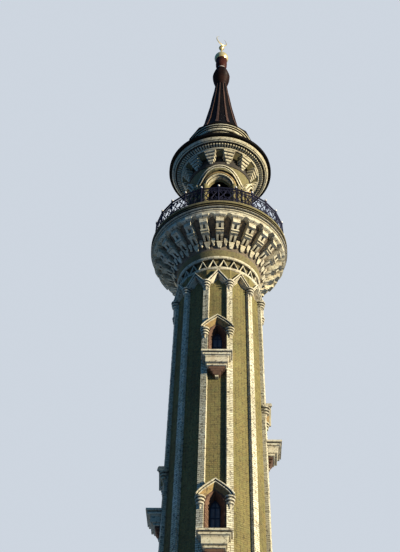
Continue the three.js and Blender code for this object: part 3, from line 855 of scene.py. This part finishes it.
def neck():
    """Two round rings with a raised zigzag between them, and the cove that leads to the corbels."""
    low = LOWER_RING + RING_SIZE
    high = UPPER_RING - RING_SIZE
    recess = NECK_RADIUS - 0.09
    wall = [(WELL_RADIUS, ARCADE_TOP), (NECK_RADIUS, ARCADE_TOP), (NECK_RADIUS, low), (recess, low + 0.01),
            (recess, high - 0.01), (NECK_RADIUS, high), (NECK_RADIUS + 0.02, UPPER_RING + 0.06),
            (NECK_RADIUS + 0.05, 31.25), (NECK_RADIUS + 0.11, NECK_TOP), (WELL_RADIUS, NECK_TOP)]
    turned("neck_wall", wall, SPANDREL, "limestone", "neck_drum")
    stone = Shape()
    stone.add(torus(NECK_RADIUS + 0.01, LOWER_RING - 0.01, RING_SIZE + 0.03), 0, 0.2)
    stone.add(torus(NECK_RADIUS + 0.03, UPPER_RING + 0.01, RING_SIZE + 0.01), 0, 0.4)
    half = NECK_RADIUS * tan(pi / ZIGZAGS)
    section = [(0, recess - 0.05), (0, NECK_RADIUS + 0.02), (0.01, NECK_RADIUS + 0.035),
               (0.038, NECK_RADIUS + 0.035), (0.048, NECK_RADIUS + 0.02), (0.048, recess - 0.05)]
    path = [(-half, low - 0.01), (0, high), (half, low - 0.01)]
    stone.around(sweep(section, path), ZIGZAGS, 0.4, 180 / ZIGZAGS)
    stone.make("neck_mouldings", STONE, "limestone", bevel=0.003)


# Balcony

def corbel():
    """One corbel: from the top a tall block, a leaning block with cheeks, two plates, two legs and a foot."""
    back = CORBEL_BACK
    plates = (
        (0.165, 2.79, 32.27, 32.49),
        (0.185, 2.81, 32.49, 32.53),
        (0.18, 2.53, 32.03, 32.11),
        (0.165, 2.45, 31.96, 32.02),
        (0.13, 2.04, 31.74, 31.81),
    )
    shells = [block(-half, half, back, out, low, high) for half, out, low, high in plates]
    shells.append(stack([(0.16, back, 2.41, 32.12), (0.16, back, 2.57, 32.27)]))
    cheek = stack([(0.052, back, 2.50, 32.12), (0.054, back, 2.66, 32.27)])
    leg = stack([(0.045, back, 2.12, 31.82), (0.05, back, 2.32, 31.96)])
    for side in (-1, 1):
        shells.append(moved(cheek, side * 0.11, 0, 0))
        shells.append(moved(leg, side * 0.09, 0, 0))
    shells.append(stack([(0.05, back, 1.90, 31.55), (0.10, back, 1.97, 31.66), (0.11, back, 2.03, 31.74)]))
    return shells


def small_corbel():
    """The small corbel low down between two large ones, with a ball under it."""
    back = CORBEL_BACK
    body = stack([(0.05, back, 1.98, 31.72), (0.08, back, 2.05, 31.80), (0.08, back, 2.12, 31.90)])
    ball = lathe([(0, 31.60), *arc(0, 31.67, 0.06, -80, 60, 6), (0, 31.74)], 10, distance=1.96)
    return body, ball


def notched_ring():
    """One bay of the round ring over the corbels, with the arched head of a gap cut into it."""
    out = 2.93
    half = out * tan(pi / CORBELS)
    notch = 0.12
    foot, spring, head = 32.53, 32.54, 32.69
    turns = np.radians(range(180, -1, -20))
    hollow = [(notch * cos(a), spring + notch * 0.75 * sin(a)) for a in turns]
    outline = [(-half, foot), (-notch, foot), *hollow, (notch, foot), (half, foot)]
    outline.extend([(half, head), (-half, head)])
    rounded = [(x, z + (0.02 if z == foot else -0.03 if z == head else 0)) for x, z in outline]
    return loft([upright(outline, 2.62), upright(outline, out - 0.03), upright(rounded, out)])


def balcony():
    """Bowl with its corbels and the gaps between them, and the slab with its mouldings and metal edge."""
    core = [(WELL_RADIUS, NECK_TOP), (1.80, NECK_TOP), (1.85, 31.60), (1.97, 31.82), (2.09, 31.98),
            (2.24, 32.20), (2.38, 32.36), (2.56, 32.52), (2.70, BOWL_TOP), (WELL_RADIUS, BOWL_TOP)]
    # The bowl's floor between the corbels is darker than the corbels: painted shade
    turned("bowl_core", core, SHADED, "limestone", "balcony_bowl", -0.2)
    stone = Shape()
    step = 360 / CORBELS
    for i in range(CORBELS):
        azimuth = i * step + CORBEL_TURN
        tone = RANDOM.uniform(0.0, 0.5)
        for shell in corbel():
            stone.add(shell, azimuth, tone)
        for shell in small_corbel():
            stone.add(shell, azimuth + step / 2, 0.0)
        stone.add(notched_ring(), azimuth + step / 2, 0.4)
    stone.make("bowl_corbels", STONE, "limestone", bevel=0.008)
    slab = over(BOWL_TOP, [(1.15, 0.03), (2.88, 0.03), (2.93, 0.06), (2.93, 0.09), (2.90, 0.11), (2.90, 0.15),
                           (2.965, 0.17), (2.965, 0.20), (2.91, 0.21), (2.91, 0.275), (3.01, 0.28),
                           (3.035, 0.285), (3.035, 0.33), (2.9, 0.36)])
    slab.extend([(2.9, SLAB_TOP), (1.15, SLAB_TOP)])
    turned("balcony_mouldings", slab, STONE, "limestone", "balcony_slab", 0.3, 144, bevel=0.004)
    edge = SLAB_EDGE
    bands = Shape()
    bands.add(lathe([(2.95, 33.14), (edge - 0.012, 33.14), (edge - 0.005, 33.15), (edge - 0.005, 33.25),
                     (edge - 0.012, 33.26), (2.95, 33.26)], 144), 0, -0.3)
    bands.add(lathe([(2.95, 33.02), (edge - 0.03, 33.02), (edge - 0.02, 33.03), (edge - 0.02, 33.06),
                     (edge - 0.03, 33.07), (2.95, 33.07)], 144), 0, -0.6)
    bands.make("balcony_bands", SPANDREL, "limestone")
    rim = [(2.85, 32.98), (3.04, 32.94), (edge - 0.01, 32.955), (edge - 0.01, 33.01), (edge - 0.05, 33.02),
           (edge - 0.05, SLAB_TOP - 0.02), (edge - 0.06, SLAB_TOP), (2.85, SLAB_TOP)]
    turned("balcony_metal_edge", rim, ROOF, "ironwork", segments=144)


def tube(points, size, sides=6):
    """A round bar along points in the (across, height) plane at the railing, closed at both ends."""
    points = np.array(points, float)
    steps = np.gradient(points, axis=0)
    steps /= np.linalg.norm(steps, axis=1)[:, None]
    turns = [2 * pi * i / sides for i in range(sides)]
    return loft([[(x - tz * size * cos(a), -size * sin(a), z + tx * size * cos(a)) for a in turns]
                 for (x, z), (tx, tz) in zip(points, steps)])


def scroll(x, z, size, turns, start):
    """A spiral from its eye outwards."""
    shares = np.linspace(0.15, 1, 22)
    angles = radians(start) + shares * turns * 2 * pi
    return [(x + size * s * cos(a), z + size * s * sin(a)) for s, a in zip(shares, angles)]


def railing_bay():
    """One bay of the railing between two posts: rails, a ring, crossing scrolls and spears."""
    half = RAILING_RADIUS * tan(pi / RAILING_BAYS)
    shells = []
    for height, size in ((0.10, 0.026), (0.22, 0.019), (0.78, 0.019), (RAILING_HEIGHT - 0.03, 0.034)):
        shells.append(tube([(-half, height), (0, height), (half, height)], size))
    ring = [(0.15 * cos(a), 0.5 + 0.15 * sin(a)) for a in np.radians(range(0, 361, 20))]
    shells.append(tube(ring, 0.018))
    for side in (-1, 1):
        for end in (0.06, 0.94):
            line = [(side * half * end, 0.22), (side * half * 0.5, 0.5), (side * half * end, 0.78)]
            shells.append(tube(line, 0.017))
        for up in (-1, 1):
            spiral = scroll(0, 0, 0.085, 1.25, 90)
            large = [(side * (0.27 + x * 0.9), 0.5 + up * (0.16 + z)) for x, z in spiral]
            shells.append(tube(large, 0.015, 5))
            leaf = scroll(0, 0, 0.055, 1.1, 200)
            small = [(side * (0.10 + x), 0.5 + up * (0.22 + z * 0.8)) for x, z in leaf]
            shells.append(tube(small, 0.013, 5))
    for i in range(1, 12):
        x = -half + i * half / 6
        shells.append(tube([(x, 0.79), (x, 0.94)], 0.012))
        shells.append(tube([(x, 0.10), (x, 0.22)], 0.012))
    return [moved(shell, 0, -RAILING_RADIUS, SLAB_TOP) for shell in shells]


def railing():
    """The railing in its four quarters, with a ball on each post."""
    step = 360 / RAILING_BAYS
    corner = RAILING_RADIUS / cos(radians(step / 2))
    bay = railing_bay()
    post = over(SLAB_TOP, [(0, 0), (0.055, 0), (0.055, 0.06), (0.032, 0.09), (0.028, 0.48), (0.045, 0.52),
                           (0.028, 0.56), (0.028, 0.94), (0.05, 0.97), (0.05, 1.01), (0.02, 1.03), (0, 1.03)])
    post = lathe(post, 10, distance=corner)
    ball = [(0, 0), (0.02, SLAB_TOP + 1.02), *arc(0, SLAB_TOP + 1.08, 0.052, -60, 75, 7), (0, 0)]
    ball = lathe(ball, 14, distance=corner)
    for q, name in enumerate(QUARTERS):
        iron = Shape(q * 90)
        balls = Shape(q * 90)
        for i in range(RAILING_BAYS // 4):
            iron.add(post, i * step, 0)
            balls.add(ball, i * step, 0.2)
            for shell in bay:
                iron.add(shell, (i + 0.5) * step, 0)
        iron.make(f"railing_ironwork_{name}", IRON, "ironwork", f"railing_{name}", sharp=50)
        balls.make(f"railing_balls_{name}", FINIAL, "ironwork", sharp=60)


# Lantern

def colonette(distance):
    """A slim column with a base, a ring and a small capital."""
    low = SLAB_TOP
    high = LANTERN_SPRING
    return lathe([
        *over(low, [(0, 0), (0.115, 0), (0.115, 0.1)]),
        *arc(0.085, low + 0.14, 0.035, -80, 80, 4),
        *over(low, [(0.075, 0.2), (0.07, 1.4)]),
        *arc(0.07, low + 1.45, 0.03, -80, 80, 4),
        (0.07, low + 1.5),
        (0.068, high - 0.36),
        *arc(0.075, high - 0.33, 0.025, -80, 80, 4),
        *over(high, [(0.07, -0.29), (0.12, -0.15), (0.125, -0.10), (0.13, -0.09), (0.13, -0.005)]),
        (0, high),
    ], 14, distance=distance)


def pier(shape):
    """One pier in brick courses between two arches."""
    side = degrees(asin(MOUTH_HALF_WIDTH / LANTERN_OUTER)) + 0.4
    inner_side = degrees(asin(ARCH_HALF_WIDTH / LANTERN_INNER)) + 0.4
    for course in range(int((LANTERN_SPRING - SLAB_TOP) / COURSE) + 1):
        low = SLAB_TOP + course * COURSE
        high = min(low + COURSE - JOINT, LANTERN_SPRING)
        count = 4 if course % 2 else 3
        for i in range(count):
            outer = (LANTERN_OUTER + wobble(0.004), side)
            inner = (LANTERN_INNER, inner_side)
            plan = []
            corners = ((outer, i, 0.16), (outer, i + 1, -0.16), (inner, i + 1, 0), (inner, i, 0))
            for (radius, edge), end, inset in corners:
                a = radians(edge + (90 - 2 * edge) * (end / count) + inset)
                plan.append((radius * sin(a), -radius * cos(a)))
            shape.add(raised(plan, low, high))


def keel_path(half, rise):
    """The line of an arch over the springing, round with a slight keel."""
    spring = LANTERN_SPRING
    line = bezier((-half, spring), (-half, spring + rise * 0.55), (-half * 0.5, spring + rise * 0.97),
                  (0, spring + rise), 12)
    return mirrored(line)


def curl(side):
    """The spiral that ends a hood, on one side of the middle of a pier."""
    spiral = scroll(0, LANTERN_SPRING + 0.10, 0.10, 1.6, 120)
    bar = tube([(side * 0.10 + side * across, height) for across, height in spiral], 0.022)
    return moved(bar, 0, -LANTERN_OUTER - 0.15, 0)


def lantern():
    """Four piers with colonettes, and the ring of arches with nested hoods over them."""
    for q, name in enumerate(QUARTERS):
        bricks = Shape(q * 90)
        pier(bricks)
        bricks.make(f"lantern_bricks_{name}", PANEL, "brickwork", f"lantern_pier_{name}", bevel=0.003)
        columns = Shape(q * 90)
        for where in COLONETTES:
            columns.add(colonette(LANTERN_OUTER + 0.03), where, 0.0)
        columns.make(f"lantern_columns_{name}", SPANDREL, "limestone", sharp=40)
    dress("lantern_arches", SPANDREL)
    hoods = Shape()
    orders = Shape()
    face = LANTERN_OUTER + 0.135
    band = over(face, [(0, -0.12), (0, -0.01), (0.01, 0), (0.075, 0), (0.08, -0.08), (0.145, -0.08),
                       (0.15, -0.01), (0.16, 0), (0.21, 0), (0.22, -0.01), (0.22, -0.12)])
    crown = 37.47
    hood = bezier((-1.17, 36.33), (-0.98, 36.36), (-0.92, crown), (0, crown), 14)
    bead = strap(0.05, 1.45, LANTERN_OUTER + 0.085)
    step = strap(0.05, 1.3, 1.46)
    order = strap(0.09, 1.42, LANTERN_OUTER + 0.075)
    for azimuth in (0, 90, 180, 270):
        hoods.add(sweep(band, mirrored(hood), True), azimuth, 0.4)
        hoods.add(sweep(bead, keel_path(0.665, 0.615), True), azimuth, 0.3)
        hoods.add(sweep(step, keel_path(0.60, 0.55), True), azimuth, 0.2)
        orders.add(sweep(order, keel_path(0.79, 0.78), True), azimuth, 0.2)
        for side in (-1, 1):
            hoods.add(curl(side), azimuth + 45, 0.4)
    hoods.make("lantern_hoods", STONE, "limestone", bevel=0.003)
    orders.make("lantern_orders", SOFFIT, "brickwork", bevel=0.003)


# Cornice, roof and spire

def bracket():
    """One bracket under the eaves, stepped in on its way down."""
    tiers = ((1.83, 38.38, 38.27, 0.285), (1.75, 38.23, 38.12, 0.24), (1.67, 38.08, 37.96, 0.19),
             (1.60, 37.92, 37.81, 0.13), (1.55, 37.77, 37.69, 0.07))
    shells = []
    for out, head, foot, half in tiers:
        tier = [(half * 0.85, 1.4, out - 0.04, foot), (half, 1.4, out, foot + 0.03), (half, 1.4, out, head)]
        shells.append(stack(tier))
    shells.append(stack([(0.05, 1.35, 1.48, 37.72), (0.15, 1.35, 1.58, 38.0), (0.22, 1.35, 1.68, 38.3)]))
    return shells


def cornice():
    """Lantern cornice: wall, brackets, rings and dentils."""
    inside = WELL_RADIUS
    head = CORNICE_TOP
    wall = Shape()
    wall.add(lathe([(inside, 37.82), (1.37, 37.82), (1.37, 38.25), (1.58, 38.33), (1.78, 38.36),
                    (1.78, 38.46), (2.12, 38.56), (2.26, 38.60), (2.30, head), (inside, head)]), 0, -0.1)
    fillet = [(inside, LANTERN_TOP), (1.5, LANTERN_TOP), (1.5, 37.80), (1.47, 37.83), (inside, 37.83)]
    wall.add(lathe(fillet), 0, 0)
    # The wall behind the brackets is near-black: painted shade in the deep holes
    wall.make("cornice_wall", SHADOW_STONE, "limestone", "lantern_cornice")
    cove = [(1.4, 38.27), (1.49, 38.24), (1.62, 38.29), (1.79, 38.35), (1.79, 38.42), (1.4, 38.42)]
    turned("cornice_cove", cove, SPANDREL, "limestone")
    stone = Shape()
    stone.add(torus(1.84, 38.41, 0.055), 0, 0.5)
    stone.add(torus(2.20, 38.535, 0.04), 0, 0.5)
    stone.add(lathe([(2.25, 38.59), (2.26, 38.53), (2.27, 38.52), (CORNICE_EDGE - 0.01, 38.585),
                     (CORNICE_EDGE, 38.60), (CORNICE_EDGE, head), (2.25, head)]), 0, 0.1)
    for shell in bracket():
        stone.around(shell, BAYS, 0.3, BAY / 2)
    dentil = stack([(0.036, 1.9, 2.08, 38.42), (0.04, 1.9, 2.09, 38.43), (0.04, 1.9, 2.09, 38.54)])
    stone.around(dentil, DENTILS, 0.5)
    stone.make("cornice_mouldings", STONE, "limestone", bevel=0.005)


def roof():
    """Sheet metal roof over the eaves with standing seams, and the drum over it."""
    eave = over(CORNICE_TOP, [(0, 0), (EAVE_EDGE - 0.02, 0), (EAVE_EDGE, 0.015), (EAVE_EDGE, 0.14)])
    slope = over(CORNICE_TOP, [(2.28, 0.21), (2.06, 0.32), (1.84, 0.43), (1.64, 0.55), (1.48, 0.7)])
    slope.append((1.40, ROOF_TOP))
    sheets = Shape()
    sheets.add(lathe([*eave, *slope, (0, ROOF_TOP)]), 0, 0)
    seam = [(r + 0.012, z + 0.025) for r, z in slope] + [(r - 0.05, z - 0.05) for r, z in reversed(slope)]
    sheets.around(rib(seam, 0.010), SEAMS, 0, 180 / SEAMS)
    sheets.make("roof_sheets", ROOF, "roof_metal", "eave_roof", bevel=0.004)

    grooves = [(0, ROOF_TOP), (1.25, ROOF_TOP), (1.27, 40.42), (1.38, 40.50), (1.46, 40.58), (1.52, DRUM_TOP),
               (0, DRUM_TOP)]
    # The grooves are near-black: painted shade
    turned("drum_grooves", grooves, SHADOW_STONE, "limestone", "upper_drum")
    inside = WELL_RADIUS
    drum = Shape()
    drum.add(lathe([(inside, 40.29), (1.27, 40.29), (1.33, 40.32), (1.33, 40.38), (inside, 40.39)]), 0, 0)
    drum.add(torus(1.41, 40.46, 0.07), 0, 0.5)
    drum.add(torus(1.49, 40.585, 0.03), 0, 0.5)
    drum.add(torus(1.58, 40.63, 0.028), 0, 0.5)
    drum.around(block(-0.04, 0.04, inside, 1.33, 40.20, 40.30), DRUM_DENTILS, 0.4)
    drum.make("drum_mouldings", STONE, "limestone", bevel=0.004)


def spire():
    """Spire of twelve sheets with a rib over each seam."""
    foot = DRUM_TOP
    body = Shape()
    body.add(lathe([(0, foot), (1.65, foot), (1.66, foot + 0.02), *SPIRE_LINE, (0, SPIRE_TOP)], BAYS, 0.5),
             SPIRE_TURN, 0)
    body.make("spire_sheets", ROOF, "roof_metal", "spire", bevel=0.004)
    rings = []
    for radius, height in SPIRE_LINE:
        if height > RIBS_FROM:
            half = 0.022 + 0.045 * (radius - 0.3) / 0.8
            corners = ((-half, -0.06), (half, -0.06), (half, 0.022), (-half, 0.022))
            rings.append([(x, -(radius + out), height) for x, out in corners])
    ribs = Shape()
    ribs.around(loft(rings), BAYS, 0, BAY / 2 + SPIRE_TURN)
    ribs.make("spire_ribs", RIBS, "roof_metal", bevel=0.004)


def knob():
    """Turned knob over the spire, a light collar, and a brown cup that paints the gilded ball's dark
    reflection.
    """
    outline = [(0, SPIRE_TOP), (0.30, SPIRE_TOP)]
    for radius, height in KNOB_RINGS:
        outline.extend(arc(radius - 0.05, height, 0.05, -55, 55, 4))
        outline.append((radius - 0.035, height + 0.065))
    outline.extend([(0.22, 47.77), (0, 47.77)])
    turned("knob_rings", outline, KNOB, "roof_metal", "spire_knob", segments=32, sharp=50)
    collar = arc(0.20, 47.80, 0.045, 0, 324, 9)
    turned("knob_collar", collar, FINIAL, "roof_metal", segments=32, sharp=60)
    # The cup's dark brown paints the dark reflection low on the gilded ball
    cup = [(0, 47.77), (0.19, 47.77), (0.20, 47.86), (0.26, 47.92), (0.30, 48.08), (0.31, 48.3),
           (0.29, 48.48), (0.31, 48.58), (0.32, 48.72), (0.30, 48.8), (0, 48.8)]
    turned("finial_cup", cup, REFLECTION_BROWN, "roof_metal", segments=32, sharp=40)


def globe():
    """Gilded ball on its neck."""
    outline = [*over(KNOB_TOP, [(0, 0), (0.19, 0), (0.20, 0.05), (0.15, 0.12)]), (0.13, 48.40), (0.18, 48.47),
               (0.18, 48.52), *arc(0, 48.88, 0.385, -50, 76, 16), (0.07, 49.27), (0.05, BALL_TOP),
               (0, BALL_TOP)]
    turned("gilded_globe", outline, GOLD, "gilding", "gilded_ball", segments=40, sharp=50)


def crescent():
    """Gilded crescent between two circles, and the stem with a bead that carries it."""
    radius = CRESCENT_RADIUS
    bite = radius * 0.87
    offset = radius * 0.145
    horn = (radius**2 - bite**2 + offset**2) / (2 * offset)
    middle = TIP - horn
    open_angle = asin(horn / radius)
    inner_angle = atan2(horn - offset, cos(open_angle) * radius)
    steps = 28
    rings = []
    for i in range(steps + 1):
        share = i / steps
        a = pi - open_angle + share * (pi + 2 * open_angle)
        b = pi - inner_angle + share * (pi + 2 * inner_angle)
        outer = np.array([radius * cos(a), middle + radius * sin(a)])
        inner = np.array([bite * cos(b), middle + offset + bite * sin(b)])
        centre = (outer + inner) / 2
        across = (outer - inner) / 2
        thick = min(0.03, 0.004 + np.linalg.norm(across) * 0.5)
        turns = np.radians(range(0, 360, 45))
        rings.append([(thick * sin(turn), *(centre + across * cos(turn))) for turn in turns])
    moon = Shape()
    moon.add(loft(rings), CRESCENT_TURN - 90, 0)
    stem = middle - radius + 0.05
    moon.add(lathe([(0, BALL_TOP), (0.07, BALL_TOP), (0.07, 49.4), (0.045, 49.46), (0.05, 49.7),
                    (0.07, 49.80), *arc(0, 49.95, 0.15, -60, 60, 8), (0.05, 50.11), (0.035, 50.14),
                    (0.03, stem), (0, stem)], 20), 0, 0)
    moon.make("gilded_crescent", GOLD, "gilding", "crescent", sharp=50)


# Stage

def place_camera():
    """Camera at the photograph's viewing angle."""
    data = bpy.data.cameras.new("camera")
    data.sensor_width = 36
    data.lens = FOCAL_PIXELS / PHOTO_HEIGHT * data.sensor_width
    data.clip_end = 500
    camera = place("camera", data)
    eye = Matrix.Translation((0, -CAMERA_DISTANCE * SCALE, EYE_HEIGHT * SCALE))
    look = Matrix.Rotation(radians(-YAW), 4, "Z") @ Matrix.Rotation(radians(90 + PITCH), 4, "X")
    roll = Matrix.Rotation(radians(ROLL), 4, "Z")
    camera.matrix_world = Matrix.Rotation(radians(ORBIT), 4, "Z") @ eye @ look @ roll
    SCENE.camera = camera


def light(name, azimuth, elevation, strength, color, spread, glossy):
    """A soft sun lamp that shines from an azimuth and elevation, and shows in shiny surfaces or doesn't."""
    data = bpy.data.lights.new(name, "SUN")
    data.energy = strength
    data.color = color
    data.angle = radians(spread)
    lamp = place(name, data)
    lamp.visible_glossy = glossy
    a, e = radians(azimuth), radians(elevation)
    source = Vector((sin(a) * cos(e), -cos(a) * cos(e), sin(e)))
    lamp.rotation_mode = "QUATERNION"
    lamp.rotation_quaternion = source.to_track_quat("Z", "Y")


def surroundings():
    """Blue fill for the shade, and a pale studio where the camera looks past the tower."""
    world = bpy.data.worlds.new("studio")
    world.use_nodes = True
    nodes = world.node_tree.nodes
    links = world.node_tree.links
    fill = nodes["Background"]
    seen = nodes.new("ShaderNodeBackground")
    for node, color, strength in ((fill, FILL_COLOR, FILL_STRENGTH), (seen, STUDIO_COLOR, STUDIO_STRENGTH)):
        node.inputs["Color"].default_value = color
        node.inputs["Strength"].default_value = strength
    path = nodes.new("ShaderNodeLightPath")
    mix = nodes.new("ShaderNodeMixShader")
    links.new(path.outputs["Is Camera Ray"], mix.inputs[0])
    links.new(fill.outputs[0], mix.inputs[1])
    links.new(seen.outputs[0], mix.inputs[2])
    links.new(mix.outputs[0], nodes["World Output"].inputs["Surface"])
    SCENE.world = world


def stage():
    """Pale floor and surroundings, and the lamps: a low warm key from the right, and three faint ones."""
    surroundings()
    for lamp in LAMPS:
        light(*lamp)
    mesh = bpy.data.meshes.new("floor")
    corners = [(x * FLOOR_SIZE, y * FLOOR_SIZE, 0) for x, y in ((-1, -1), (1, -1), (1, 1), (-1, 1))]
    mesh.from_pydata(corners, [], [(0, 1, 2, 3)])
    f = Finish("floor")
    mesh.materials.append(f.done(f.mix(f.spread(f.noise(0.5), 0.3, 0.7), "ede0c4", "f4e8cf"), 0.9))
    floor = place("floor", mesh)
    floor.location.z = -0.002
    floor.visible_diffuse = False
    floor.visible_shadow = False
    view = SCENE.view_settings
    view.view_transform = "Standard"
    view.look = "Medium High Contrast"


place_camera()
stage()
shaft()
plinth()
for details in WINDOWS:
    window(*details)
arcade()
neck()
balcony()
railing()
lantern()
cornice()
roof()
spire()
knob()
globe()
crescent()
